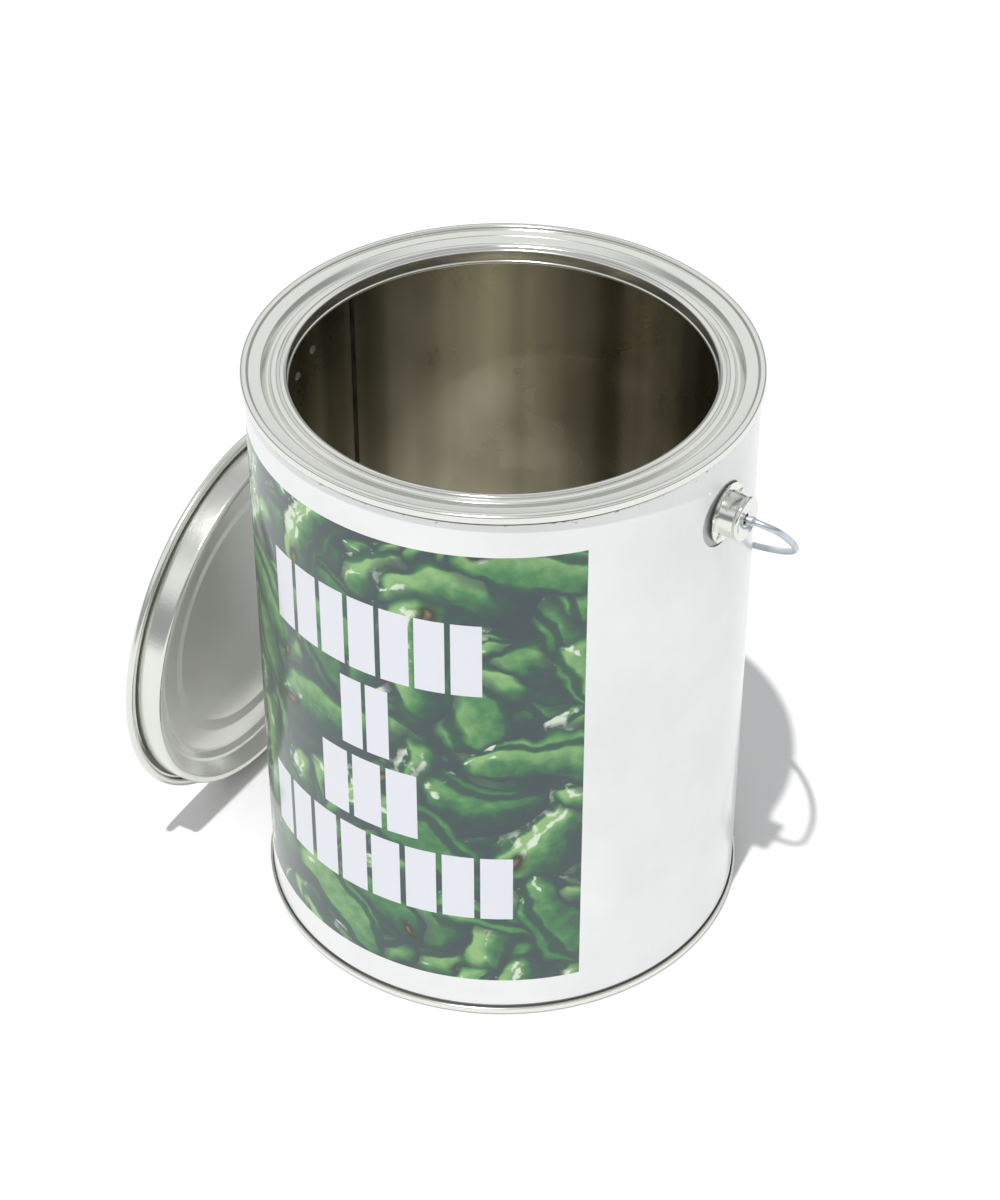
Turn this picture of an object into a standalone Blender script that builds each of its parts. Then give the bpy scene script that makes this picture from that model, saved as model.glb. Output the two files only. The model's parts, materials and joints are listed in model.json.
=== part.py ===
"""A round friction-top paint can of about four litres, open, with its lid stood beside it.

Run with: blender --background --python part.py

Metres, +Z up. The origin is the centre of the bottom panel's outside face, on the can's axis.
The front of the can is towards -Y, and the two ears of the handle are on +X and -X. The can
rests on its bottom seam, a little below the origin.
"""

import math

import bmesh
import bpy
from mathutils import Matrix, Vector

# Sheet metal and running gaps
SHEET = 0.0003              # tinplate of the body, the ring, the bottom and the lid
SEAT_GAP = 0.0003           # left between two pieces that touch
TURN_STEPS = 48             # facets round a turned piece

# Body
BODY_DIAMETER = 0.1636      # outside of the rolled body
CAN_HEIGHT = 0.210          # over both seams
WELD_WIDTH = 0.0020         # raised lap of the side seam, inside
WELD_RISE = 0.0002
WELD_ANGLE = math.radians(161.25)

# Double seams
SEAM_OVERHANG = 0.0016      # how far a seam stands out from the body
SEAM_HEIGHT = 0.0029
SEAM_CORNER = 0.0004        # bend radius of the seam's edges, to the middle of the sheet
SEAM_LAP = 0.00115          # width from the hook's tip to the outside of the seam
CHUCK_GAP = 0.0004          # between the body and the wall of an end pressed into it

# Bottom end
PANEL_RECESS = 0.0030       # bottom panel above the surface that the can stands on
BEAD_RADIUS = 0.0698        # expansion bead in the bottom panel
BEAD_WIDTH = 0.0044
BEAD_HEIGHT = 0.0008

# Top ring, each depth measured down from the rim
LEDGE_WIDTH = 0.0037
LEDGE_DEPTH = 0.0012
GROOVE_WIDTH = 0.0034
GROOVE_DEPTH = 0.0037
SHOULDER_WIDTH = 0.0024
SHOULDER_DEPTH = 0.0021
CREASE_DEPTH = 0.0027
CURL_WIDTH = 0.0024
CURL_DEPTH = 0.0018
THROAT_DEPTH = 0.0070
HEM_RADIUS = 0.0005

# Label
LABEL_THICKNESS = 0.00015
LABEL_GAP = 0.00025
LABEL_MARGIN = 0.0010       # bare metal between the label and each seam
EAR_WINDOW_GAP = 0.0005     # round the ear, in the label

# Ears
EAR_DROP = 0.0272           # pivot below the top rim
EAR_SHEET = 0.0005
EAR_FLANGE_RADIUS = 0.0099
EAR_CUP_RADIUS = 0.00745
EAR_CUP_HEIGHT = 0.0074     # flange back to cup face
EAR_HOLE_RADIUS = 0.0019
EAR_STEPS = 24

# Bail
WIRE_DIAMETER = 0.0022
BAIL_STANDOFF = 0.0095      # middle of the wire beyond the ears' faces, at its widest
BAIL_SLACK = 0.0334         # depth of the loop beyond what would just pass over the can
BAIL_BEND = 0.0070
BAIL_STEPS = 30             # spans along the half ellipse
HEAD_RADIUS = 0.0026
HEAD_LENGTH = 0.0014
HEAD_INSET = 0.0012         # head behind the inside of the cup's face

# Lid
PLUG_CLEARANCE = 0.0004     # plug to throat
PLUG_DEPTH = 0.0096         # below the middle of the curl
PLUG_TAPER = 0.0002
LID_RIM_WIDTH = 0.0044      # plug to the lid's outer edge
LID_CURL_RADIUS = 0.0013    # to the middle of the sheet
PLUG_LIP = 0.0026           # width of the plug's rounded bottom edge
LID_SLOPE_WIDTH = 0.0042
LID_STEP_DEPTH = 0.0056
LID_STEP_WIDTH = 0.0045
LID_RING_DEPTH = 0.0041
LID_RING_WIDTH = 0.0070
LID_PANEL_DEPTH = 0.0034
LID_PANEL_SLOPE = 0.0040

# Where the lid stands
LID_FOOT = 0.0102           # foot of the lid beyond the widest part of the handle
LID_SIDESTEP = -0.0054      # along Y
LID_GAP = 0.0010            # kept to the bail, where that hangs in front of the lid
LID_LEAN = math.radians(3.0)
LID_TURN = math.radians(2.0)

# Worked out from the above
BODY_RADIUS = BODY_DIAMETER / 2
BODY_INSIDE = BODY_RADIUS - SHEET
SEAM_RADIUS = BODY_RADIUS + SEAM_OVERHANG
BASE_Z = -PANEL_RECESS
RIM_Z = BASE_Z + CAN_HEIGHT
LABEL_INSIDE = BODY_RADIUS + LABEL_GAP
LABEL_RADIUS = LABEL_INSIDE + LABEL_THICKNESS
PIVOT_Z = RIM_Z - EAR_DROP
EAR_BACK = BODY_RADIUS + SEAT_GAP
EAR_FACE = EAR_BACK + EAR_CUP_HEIGHT
CHUCK_RADIUS = BODY_INSIDE - CHUCK_GAP - SHEET / 2
LEDGE_END = CHUCK_RADIUS - SEAM_CORNER - LEDGE_WIDTH
CURL_OUTSIDE = LEDGE_END - GROOVE_WIDTH - SHOULDER_WIDTH
THROAT_RADIUS = CURL_OUTSIDE - CURL_WIDTH
PLUG_RADIUS = THROAT_RADIUS - SHEET - PLUG_CLEARANCE
LID_RADIUS = PLUG_RADIUS + LID_RIM_WIDTH
WIRE_RADIUS = WIRE_DIAMETER / 2
BAIL_HALF_WIDTH = EAR_FACE + BAIL_STANDOFF
BAIL_CLEAR = LABEL_RADIUS + SEAT_GAP + WIRE_RADIUS
BAIL_DEPTH = BAIL_CLEAR + BAIL_SLACK
BAIL_HANG = math.asin(BAIL_CLEAR / BAIL_DEPTH)      # from straight down, where it meets the wall


def clear_scene():
    for old in list(bpy.data.objects):
        bpy.data.objects.remove(old, do_unlink=True)


def new_collection(name):
    collection = bpy.data.collections.new(name)
    bpy.context.scene.collection.children.link(collection)
    return collection


def new_material(name, colour, roughness, metallic):
    material = bpy.data.materials.new(name)
    material.use_nodes = True
    shader = material.node_tree.nodes["Principled BSDF"]
    shader.inputs["Base Color"].default_value = (*colour, 1.0)
    shader.inputs["Roughness"].default_value = roughness
    shader.inputs["Metallic"].default_value = metallic
    return material


def arc(centre, radius, start, end, spans):
    """Points on an arc about centre, from one angle to another in degrees."""
    angles = [math.radians(start + (end - start) * i / spans) for i in range(spans + 1)]
    return [(centre[0] + radius * math.cos(a), centre[1] + radius * math.sin(a)) for a in angles]


def offset_path(path, distance):
    """The path moved sideways to its left, mitred at its corners."""
    points = [Vector(p) for p in path]
    ways = [(b - a).normalized() for a, b in zip(points, points[1:])]
    sides = [Vector((-way.y, way.x)) for way in ways]
    moved = [points[0] + sides[0] * distance]
    for point, before, after in zip(points[1:], sides, sides[1:]):
        middle = (before + after).normalized()
        moved.append(point + middle * (distance / middle.dot(before)))
    return moved + [points[-1] + sides[-1] * distance]


def sheet_outline(path, thickness=SHEET):
    """The outline of a sheet whose middle follows path."""
    left = offset_path(path, thickness / 2)
    right = offset_path(path, -thickness / 2)
    return left + right[::-1]


def clockwise(outline):
    """The outline in the order that a turned profile needs, down its outer side."""
    area = sum(a[0] * b[1] - b[0] * a[1] for a, b in zip(outline, outline[1:] + outline[:1]))
    return outline if area < 0 else outline[::-1]


def link(obj, collection, material=None):
    collection.objects.link(obj)
    if material:
        obj.data.materials.append(material)
    return obj


def turned(name, outline, collection, material, steps=TURN_STEPS):
    """An outline of (radius, height) turned about Z. One that ends on the axis is left open there."""
    points = clockwise([(p[0], p[1]) for p in outline])
    on_axis = [i for i, p in enumerate(points) if p[0] < 1e-6]
    if on_axis:
        # The chain starts after the edge that lies along the axis.
        first = next(i for i in on_axis if points[i - 1][0] < 1e-6)
        points = points[first:] + points[:first]
    edges = [(i, i + 1) for i in range(len(points) - 1)]
    if not on_axis:
        edges.append((len(points) - 1, 0))
    mesh = bpy.data.meshes.new(name)
    mesh.from_pydata([(x, 0.0, z) for x, z in points], edges, [])
    obj = link(bpy.data.objects.new(name, mesh), collection, material)
    screw = obj.modifiers.new("Turn", "SCREW")
    screw.steps = steps
    screw.render_steps = steps
    screw.use_merge_vertices = True
    screw.merge_threshold = 1e-6
    screw.use_smooth_shade = True
    return obj


def boolean(obj, operation, *tools):
    for tool in tools:
        modifier = obj.modifiers.new(tool.name, "BOOLEAN")
        modifier.operation = operation
        modifier.object = tool


def helper(obj, collection):
    """A tool for a Boolean, which isn't a piece of its own."""
    collection.objects.link(obj)
    obj.hide_render = True
    obj.display_type = "WIRE"
    return obj


def cylinder(name, radius, length, collection, segments=32):
    """A solid cylinder along its own Z, centred on its origin."""
    mesh = bpy.data.meshes.new(name)
    bm = bmesh.new()
    bmesh.ops.create_cone(
        bm, cap_ends=True, segments=segments, radius1=radius, radius2=radius, depth=length
    )
    bm.to_mesh(mesh)
    bm.free()
    return helper(bpy.data.objects.new(name, mesh), collection)


def box(name, size, collection):
    mesh = bpy.data.meshes.new(name)
    bm = bmesh.new()
    bmesh.ops.create_cube(bm, size=1.0, matrix=Matrix.Diagonal((*size, 1.0)))
    bm.to_mesh(mesh)
    bm.free()
    return helper(bpy.data.objects.new(name, mesh), collection)


def seam_path(rim, inward):
    """The middle of an end's sheet through its seam, from the hook's tip to the top of the chuck wall.

    rim is the height of the seam's outer edge, and inward is -1 if the can is below it, or 1.
    """
    outer = SEAM_RADIUS - SHEET / 2
    crest = rim + inward * SHEET / 2
    hook = rim + inward * (SEAM_HEIGHT - SHEET / 2)
    c = SEAM_CORNER
    return [
        (SEAM_RADIUS - SEAM_LAP, hook),
        (outer - c, hook),
        (outer, hook - inward * c),
        (outer, crest + inward * c),
        (outer - c, crest),
        (CHUCK_RADIUS + c, crest),
        (CHUCK_RADIUS, crest + inward * c),
    ]


def make_body(collection, tools, material):
    """The rolled body: a plain wall with a flange turned out at each end, inside the seams."""
    flange = SEAM_RADIUS - SHEET - SEAT_GAP
    inset = SHEET + SEAT_GAP + SHEET / 2
    middle = BODY_RADIUS - SHEET / 2
    top, bottom = RIM_Z - inset, BASE_Z + inset
    path = [
        (flange, top),
        (middle + SHEET, top),
        (middle, top - SHEET),
        (middle, bottom + SHEET),
        (middle + SHEET, bottom),
        (flange, bottom),
    ]
    body = turned("can_body", sheet_outline(path), collection, material)
    # The facets' middles are nearer the axis than their edges, and the lap starts inside the wall.
    facet = BODY_INSIDE * math.cos(math.pi / TURN_STEPS)
    depth = SHEET / 2 + WELD_RISE
    length = CAN_HEIGHT - 2 * (THROAT_DEPTH + PANEL_RECESS)
    lap = box("side_seam_lap", (depth, WELD_WIDTH, length), tools)
    lap.rotation_euler.z = WELD_ANGLE
    reach = facet - WELD_RISE + depth / 2
    lap.location = (
        reach * math.cos(WELD_ANGLE),
        reach * math.sin(WELD_ANGLE),
        BASE_Z + CAN_HEIGHT / 2,
    )
    boolean(body, "UNION", lap)
    return body


def make_bottom(collection, material):
    """The bottom end: a flat panel with one expansion bead, seamed to the body."""
    panel = SHEET / 2
    bead = panel + BEAD_HEIGHT
    half, slope = BEAD_WIDTH / 2, BEAD_HEIGHT
    path = seam_path(BASE_Z, 1) + [
        (CHUCK_RADIUS, panel - SEAM_CORNER),
        (CHUCK_RADIUS - SEAM_CORNER, panel),
        (BEAD_RADIUS + half, panel),
        (BEAD_RADIUS + half - slope, bead),
        (BEAD_RADIUS - half + slope, bead),
        (BEAD_RADIUS - half, panel),
        (0.0, panel),
    ]
    return turned("bottom_end", sheet_outline(path), collection, material)


def make_ring(collection, material):
    """The friction ring: seam, ledge, groove, shoulder, curl and the throat that grips the lid."""
    z = RIM_Z - SHEET / 2
    ledge = z - LEDGE_DEPTH
    groove_end = LEDGE_END - GROOVE_WIDTH
    curl_middle = CURL_OUTSIDE - CURL_WIDTH / 2
    throat = THROAT_RADIUS - SHEET / 2
    hem = z - THROAT_DEPTH + HEM_RADIUS + SHEET
    path = seam_path(RIM_Z, -1) + [
        (CHUCK_RADIUS, ledge + SEAM_CORNER),
        (CHUCK_RADIUS - SEAM_CORNER, ledge),
        (LEDGE_END, ledge),
        (LEDGE_END - 0.5 * GROOVE_WIDTH, z - GROOVE_DEPTH),
        (groove_end + 0.2 * GROOVE_WIDTH, z - GROOVE_DEPTH),
        (groove_end, z - SHOULDER_DEPTH),
        (CURL_OUTSIDE + 0.4 * SHOULDER_WIDTH, z - SHOULDER_DEPTH),
        (CURL_OUTSIDE, z - CREASE_DEPTH),
        (curl_middle + 0.3 * CURL_WIDTH, z - CURL_DEPTH - 0.0002),
        (curl_middle, z - CURL_DEPTH),
        (throat + 0.0004, z - CURL_DEPTH - 0.0002),
        (throat, z - CURL_DEPTH - 0.0009),
    ]
    path += arc((throat + HEM_RADIUS, hem), HEM_RADIUS, 180, 360, 4)
    return turned("top_ring", sheet_outline(path), collection, material)


def make_compound(name, rim, inward, collection, material):
    """The band of sealing compound that lies in a seam, between the body's flange and the hook."""
    inside = BODY_RADIUS + SEAT_GAP
    outside = SEAM_RADIUS - SHEET - SEAT_GAP
    near = rim + inward * (2 * SHEET + 2 * SEAT_GAP)
    far = rim + inward * (SEAM_HEIGHT - SHEET - SEAT_GAP)
    outline = [(inside, near), (outside, near), (outside, far), (inside, far)]
    return turned(name, outline, collection, material)


def make_label(collection, tools, material):
    """The wrapped label, with a round window at each ear."""
    low = BASE_Z + SEAM_HEIGHT + LABEL_MARGIN
    high = RIM_Z - SEAM_HEIGHT - LABEL_MARGIN
    outline = [(LABEL_INSIDE, low), (LABEL_RADIUS, low), (LABEL_RADIUS, high), (LABEL_INSIDE, high)]
    label = turned("label", outline, collection, material)
    windows = cylinder(
        "ear_windows", EAR_FLANGE_RADIUS + EAR_WINDOW_GAP, 3 * BODY_RADIUS, tools, EAR_STEPS
    )
    windows.rotation_euler.y = math.pi / 2
    windows.location.z = PIVOT_Z
    boolean(label, "DIFFERENCE", windows)
    return label


def make_ear(name, side, collection, material):
    """A pressed cup with a flange, spot-welded to the body. side is 1 on +X and -1 on -X."""
    half = EAR_SHEET / 2
    face = EAR_CUP_HEIGHT - half
    cup = EAR_CUP_RADIUS - half
    path = [
        (EAR_FLANGE_RADIUS, half),
        (cup + EAR_SHEET, half),
        (cup, half + EAR_SHEET),
        (cup, face - EAR_SHEET),
        (cup - EAR_SHEET, face),
        (EAR_HOLE_RADIUS, face),
    ]
    ear = turned(name, sheet_outline(path, EAR_SHEET), collection, material, EAR_STEPS)
    ear.location = (side * EAR_BACK, 0.0, PIVOT_Z)
    ear.rotation_euler.y = side * math.pi / 2
    return ear


def bail_path():
    """The bail's middle line in its own plane: out through one ear, round the loop and back."""
    stub = EAR_FACE - EAR_SHEET - HEAD_INSET - HEAD_LENGTH / 2
    # The corner's arc runs into the ellipse where the ellipse is as deep as the arc's centre.
    width = math.sqrt(1 - (BAIL_BEND / BAIL_DEPTH) ** 2) * BAIL_HALF_WIDTH
    bend = arc((width - BAIL_BEND, -BAIL_BEND), BAIL_BEND, 90, 0, 5)
    start = math.asin(BAIL_BEND / BAIL_DEPTH)
    turns = [start + (math.pi - 2 * start) * i / BAIL_STEPS for i in range(1, BAIL_STEPS)]
    loop = [(BAIL_HALF_WIDTH * math.cos(a), -BAIL_DEPTH * math.sin(a)) for a in turns]
    return [(stub, 0.0)] + bend + loop + [(-x, z) for x, z in bend[::-1]] + [(-stub, 0.0)]


def make_bail(collection, tools, material):
    """The wire handle, with an upset head on each end inside its ear, hanging on the back wall."""
    curve = bpy.data.curves.new("bail_wire", "CURVE")
    curve.dimensions = "3D"
    curve.bevel_depth = WIRE_RADIUS
    curve.bevel_resolution = 2
    curve.use_fill_caps = True
    path = bail_path()
    spline = curve.splines.new("POLY")
    spline.points.add(len(path) - 1)
    for point, (x, z) in zip(spline.points, path):
        point.co = (x, 0.0, z, 1.0)
    wire = bpy.data.objects.new("bail_wire", curve)
    collection.objects.link(wire)
    bpy.context.view_layer.update()
    evaluated = wire.evaluated_get(bpy.context.evaluated_depsgraph_get())
    mesh = bpy.data.meshes.new_from_object(evaluated)
    bpy.data.objects.remove(wire, do_unlink=True)
    bm = bmesh.new()
    bm.from_mesh(mesh)
    bmesh.ops.remove_doubles(bm, verts=bm.verts, dist=1e-6)
    bm.to_mesh(mesh)
    bm.free()
    mesh.materials.clear()
    bail = link(bpy.data.objects.new("bail", mesh), collection, material)

    pivot = bpy.data.objects.new("bail_pivot", None)
    collection.objects.link(pivot)
    pivot.location.z = PIVOT_Z
    pivot.rotation_euler.x = BAIL_HANG
    bail.parent = pivot
    for side in (1, -1):
        head = cylinder(f"bail_head_{side}", HEAD_RADIUS, HEAD_LENGTH, tools, 16)
        head.rotation_euler.y = math.pi / 2
        head.location.x = side * path[0][0]
        head.parent = pivot
        boolean(bail, "UNION", head)
    return bail


def lid_path():
    """The middle of the lid's sheet from the tip of its curl to the centre of its panel.

    Heights are along the lid's axis from the middle of the curl, positive towards the plug.
    """
    curl = LID_RADIUS - SHEET / 2 - LID_CURL_RADIUS
    plug = PLUG_RADIUS - SHEET / 2
    lip = plug - PLUG_TAPER
    corner = 0.0007
    slope = lip - PLUG_LIP
    step = slope - LID_SLOPE_WIDTH
    ring = step - LID_STEP_WIDTH
    panel = ring - LID_RING_WIDTH
    path = arc((curl, 0.0), LID_CURL_RADIUS, 110, -90, 6)
    return path + [
        (plug + corner, -LID_CURL_RADIUS),
        (plug, -LID_CURL_RADIUS + corner),
        (lip, PLUG_DEPTH - corner),
        (lip - corner, PLUG_DEPTH),
        (slope + corner, PLUG_DEPTH),
        (slope, PLUG_DEPTH - corner),
        (step, LID_STEP_DEPTH),
        (step - 0.3 * LID_STEP_WIDTH, LID_STEP_DEPTH),
        (ring, LID_RING_DEPTH),
        (panel, LID_RING_DEPTH),
        (panel - LID_PANEL_SLOPE, LID_PANEL_DEPTH),
        (0.0, LID_PANEL_DEPTH),
    ]


def lid_distance():
    """How far the lid's foot stands from the axis: further out where the bail hangs in front of it."""
    distance = BAIL_HALF_WIDTH + LID_FOOT
    wire = WIRE_RADIUS + LID_GAP
    for x, down in bail_path():
        above = PIVOT_Z + down * math.cos(BAIL_HANG) - BASE_Z
        for across in (down * math.sin(BAIL_HANG), -down * math.sin(BAIL_HANG)):
            aside = across - LID_SIDESTEP
            if math.hypot(aside, above - LID_RADIUS) < LID_RADIUS + wire:
                lean = above * math.tan(LID_LEAN) + abs(aside) * math.tan(LID_TURN)
                distance = max(distance, x + wire + PLUG_DEPTH / math.cos(LID_LEAN) + lean)
    return distance


def make_lid(collection, material):
    """The friction lid, stood on its edge beside the left ear with its plug towards the can."""
    lid = turned("lid", sheet_outline(lid_path()), collection, material)
    foot = bpy.data.objects.new("lid_foot", None)
    collection.objects.link(foot)
    foot.location = (-lid_distance(), LID_SIDESTEP, BASE_Z)
    # The foot's X points at the can, and its Z runs up the leaning lid.
    foot.rotation_euler = (0.0, LID_LEAN, LID_TURN)
    lid.parent = foot
    # The curl's round edge rests on the floor, so its centre stays above the foot as the lid leans.
    curl = LID_CURL_RADIUS + SHEET / 2
    rise = LID_RADIUS - curl + curl / math.cos(LID_LEAN)
    lid.location = (0.0, 0.0, rise)
    lid.rotation_euler.y = math.pi / 2
    return lid


def main():
    clear_scene()
    can = new_collection("paint_can")
    tools = new_collection("paint_can_tools")

    tinplate = new_material("tinplate", (0.62, 0.62, 0.60), 0.22, 1.0)
    inner_tinplate = new_material("body_tinplate", (0.46, 0.44, 0.37), 0.30, 1.0)
    ear_steel = new_material("ear_steel", (0.66, 0.66, 0.65), 0.20, 1.0)
    zinc_wire = new_material("zinc_wire", (0.60, 0.64, 0.67), 0.35, 1.0)
    gloss_paper = new_material("gloss_paper", (0.86, 0.87, 0.88), 0.12, 0.0)
    compound = new_material("sealing_compound", (0.20, 0.19, 0.17), 0.70, 0.0)

    make_body(can, tools, inner_tinplate)
    make_bottom(can, tinplate)
    make_ring(can, tinplate)
    make_compound("top_seam_compound", RIM_Z, -1, can, compound)
    make_compound("bottom_seam_compound", BASE_Z, 1, can, compound)
    make_label(can, tools, gloss_paper)
    make_ear("ear_right", 1, can, ear_steel)
    make_ear("ear_left", -1, can, ear_steel)
    make_bail(can, tools, zinc_wire)
    make_lid(can, tinplate)


main()
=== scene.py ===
"""Looks of an open paint can with a wire bail, and its friction lid stood on edge beside it.

Laid out as an add-on, and run as a script. Metres, +Z up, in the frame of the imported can: the origin
is the centre of the bottom panel, the front of the label faces -Y, and the ears are on +X and -X.
"""

import json
import math
from functools import cache

import bmesh
import bpy
from bpy.props import FloatProperty, IntProperty, PointerProperty, StringProperty
from bpy.types import Operator, Panel, PropertyGroup
from mathutils import Matrix, Vector


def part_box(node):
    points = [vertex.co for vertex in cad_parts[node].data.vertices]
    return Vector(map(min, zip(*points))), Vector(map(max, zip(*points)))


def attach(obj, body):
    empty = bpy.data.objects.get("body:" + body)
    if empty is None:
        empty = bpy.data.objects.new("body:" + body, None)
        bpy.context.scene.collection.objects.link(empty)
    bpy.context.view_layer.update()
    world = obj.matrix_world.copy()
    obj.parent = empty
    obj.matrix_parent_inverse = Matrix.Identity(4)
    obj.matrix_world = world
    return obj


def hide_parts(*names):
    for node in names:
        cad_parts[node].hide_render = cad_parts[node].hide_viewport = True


bl_info = {
    "name": "Paint can looks",
    "version": (1, 0, 0),
    "blender": (4, 5, 0),
    "location": "3D View > Sidebar > Paint can",
    "description": "Fine pieces and finishes for an open paint can with its lid beside it",
    "category": "Add Mesh",
}

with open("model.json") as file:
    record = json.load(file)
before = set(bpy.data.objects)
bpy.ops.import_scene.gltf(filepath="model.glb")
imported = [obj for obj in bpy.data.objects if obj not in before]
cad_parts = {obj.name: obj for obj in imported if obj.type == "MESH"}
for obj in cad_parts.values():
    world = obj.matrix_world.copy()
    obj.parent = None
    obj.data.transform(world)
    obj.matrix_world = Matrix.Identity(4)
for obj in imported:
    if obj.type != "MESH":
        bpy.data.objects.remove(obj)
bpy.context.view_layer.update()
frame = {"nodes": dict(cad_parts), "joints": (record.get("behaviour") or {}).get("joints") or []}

# Places and main sizes, from the frame
BASE_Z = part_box("bottom_end")[0].z
RIM_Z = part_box("top_ring")[1].z
SEAM_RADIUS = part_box("top_ring")[1].x
LABEL_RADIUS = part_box("label")[1].x
LABEL_LOW, LABEL_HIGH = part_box("label")[0].z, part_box("label")[1].z
EAR_BACK, EAR_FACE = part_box("ear_right")[0].x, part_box("ear_right")[1].x
EAR_FLANGE_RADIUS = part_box("ear_right")[1].y
PIVOT_Z = frame["joints"][0]["pos_m"][2]

# Sizes that the frame's boxes don't give
SHEET = 0.0003
LABEL_SHEET = 0.00015
BODY_RADIUS = LABEL_RADIUS - 0.0004
SEAM_HEIGHT = 0.0029
CHUCK_RADIUS = BODY_RADIUS - 0.00085        # middle of the wall of an end pressed into the body
LEDGE_END = CHUCK_RADIUS - 0.0041
CURL_OUTSIDE = LEDGE_END - 0.0058
THROAT_RADIUS = CURL_OUTSIDE - 0.0024
PLUG_RADIUS = THROAT_RADIUS - 0.0007
LID_RADIUS = PLUG_RADIUS + 0.0044
WIRE_RADIUS = 0.0011
HEAD_DEPTH = 0.0014
BAIL_HALF_WIDTH = EAR_FACE + 0.0095
BAIL_DEPTH = 0.1170
BAIL_HANG = math.asin((LABEL_RADIUS + 0.0003 + WIRE_RADIUS) / BAIL_DEPTH)
LID_LEAN, LID_TURN = math.radians(3.0), math.radians(2.0)
LID_FOOT = Vector((-BAIL_HALF_WIDTH - 0.0102, -0.0054, BASE_Z))
WELD_ANGLE = math.radians(161.25)

# Camera and light
CAMERA_DISTANCE = 0.7786        # from the can's axis, level
CAMERA_HEIGHT = 0.7308          # above the floor
CAMERA_AZIMUTH = math.radians(32.4)
CAMERA_TILT = math.radians(38.434)
CAMERA_LENS = 88.64
SUN_TRAVEL = Vector((-0.047, 0.308, -1.0))


LENGTH = {"subtype": "DISTANCE", "unit": "LENGTH"}


class CanSizes(PropertyGroup):
    """Sizes that may be changed without touching the frame."""

    turn_steps: IntProperty(
        name="Turn steps", description="Facets round a turned piece", default=192, min=24
    )
    bend_steps: IntProperty(
        name="Bend steps", description="Facets round a pressed bend", default=5, min=1
    )
    curl_radius: FloatProperty(
        name="Lid curl", description="Radius of the lid's rolled edge, to the middle of its sheet",
        default=0.0013, **LENGTH,
    )
    plug_depth: FloatProperty(
        name="Plug depth", description="Depth of the lid's plug below the middle of its curl",
        default=0.0096, **LENGTH,
    )
    nib_circle: FloatProperty(
        name="Weld circle", description="Radius of the circle that an ear's spot welds lie on",
        default=0.0088, **LENGTH,
    )
    nib_radius: FloatProperty(
        name="Weld nib", description="Radius of one spot weld",
        default=0.0015, **LENGTH,
    )


class CanColours(PropertyGroup):
    """Colours, each an sRGB hex value."""

    tin: StringProperty(name="Tin", description="Bright tinplate", default="#E4E5DF")
    tin_inside: StringProperty(name="Tin inside", description="Passivated tinplate", default="#F9F4E1")
    zinc: StringProperty(name="Zinc", description="Plated wire", default="#D2DADF")
    paper: StringProperty(name="Paper", description="Unprinted label", default="#F3F4F2")
    gap: StringProperty(name="Between peppers", description="Deepest print", default="#2A3E43")
    leaf: StringProperty(name="Pepper shade", description="Dark side of a pepper", default="#25503E")
    pepper: StringProperty(name="Pepper", description="Body of a pepper", default="#3C7E47")
    young: StringProperty(name="Pepper light", description="Lit side of a pepper", default="#8CB874")
    shine: StringProperty(name="Shine", description="Highlight on a pepper", default="#E6F2DC")


def sizes():
    return bpy.context.scene.can_sizes


def colours():
    return bpy.context.scene.can_colours


def linear(hex_colour):
    """A linear RGBA colour from an sRGB hex value."""
    channels = [int(hex_colour[i:i + 2], 16) / 255 for i in (1, 3, 5)]
    return [c / 12.92 if c <= 0.04045 else ((c + 0.055) / 1.055) ** 2.4 for c in channels] + [1.0]


def add(tree, kind, inputs=(), stops=(), **settings):
    """A node with its settings and links. kind leaves out "ShaderNode" from the front of its class.

    Inputs go by name, or as a list in their own order. A value is a number, a colour, a socket, or a
    node for its first output. stops are the (position, colour) pairs of a node with a colour ramp.
    """
    whole = kind.startswith(("Geometry", "NodeGroup"))
    node = tree.nodes.new(kind if whole else "ShaderNode" + kind)
    for name, value in settings.items():
        setattr(node, name, value)
    for i, (position, colour) in enumerate(stops):
        elements = node.color_ramp.elements
        element = elements[i] if i < len(elements) else elements.new(position)
        element.position, element.color = position, colour
    for key, value in inputs.items() if isinstance(inputs, dict) else enumerate(inputs):
        socket = node.inputs[key]
        if isinstance(value, bpy.types.Node):
            value = value.outputs[0]
        if isinstance(value, bpy.types.NodeSocket):
            tree.links.new(value, socket)
        else:
            socket.default_value = value
    return node


def new_group(name, kind, inputs, outputs):
    """An empty node group with named sockets of the kinds given, and the sockets of its inputs."""
    tree = bpy.data.node_groups.new(name, kind)
    for way, named in (("INPUT", inputs), ("OUTPUT", outputs)):
        for label, socket in named.items():
            tree.interface.new_socket(label, in_out=way, socket_type="NodeSocket" + socket)
    return tree, tree.nodes.new("NodeGroupInput").outputs


# Profiles

def rounded(path, spans):
    """A path of (radius, height) or (radius, height, bend) with each bend drawn as an arc."""
    points = [Vector(p[:2]) for p in path]
    out = [points[0]]
    for before, point, after, corner in zip(points, points[1:], points[2:], path[1:]):
        if len(corner) < 3:
            out.append(point)
            continue
        back, on = (before - point), (after - point)
        room = 0.48 * min(back.length, on.length)
        back.normalize()
        on.normalize()
        half = back.angle(on) / 2
        cut = min(corner[2] / math.tan(half), room)
        centre = point + (back + on).normalized() * (cut / math.cos(half))
        start, end = point + back * cut - centre, point + on * cut - centre
        sweep = start.angle(end)
        for i in range(spans + 1):
            share = i / spans
            weight = math.sin((1 - share) * sweep), math.sin(share * sweep)
            out.append(centre + (start * weight[0] + end * weight[1]) / math.sin(sweep))
    return out + [points[-1]]


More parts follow.
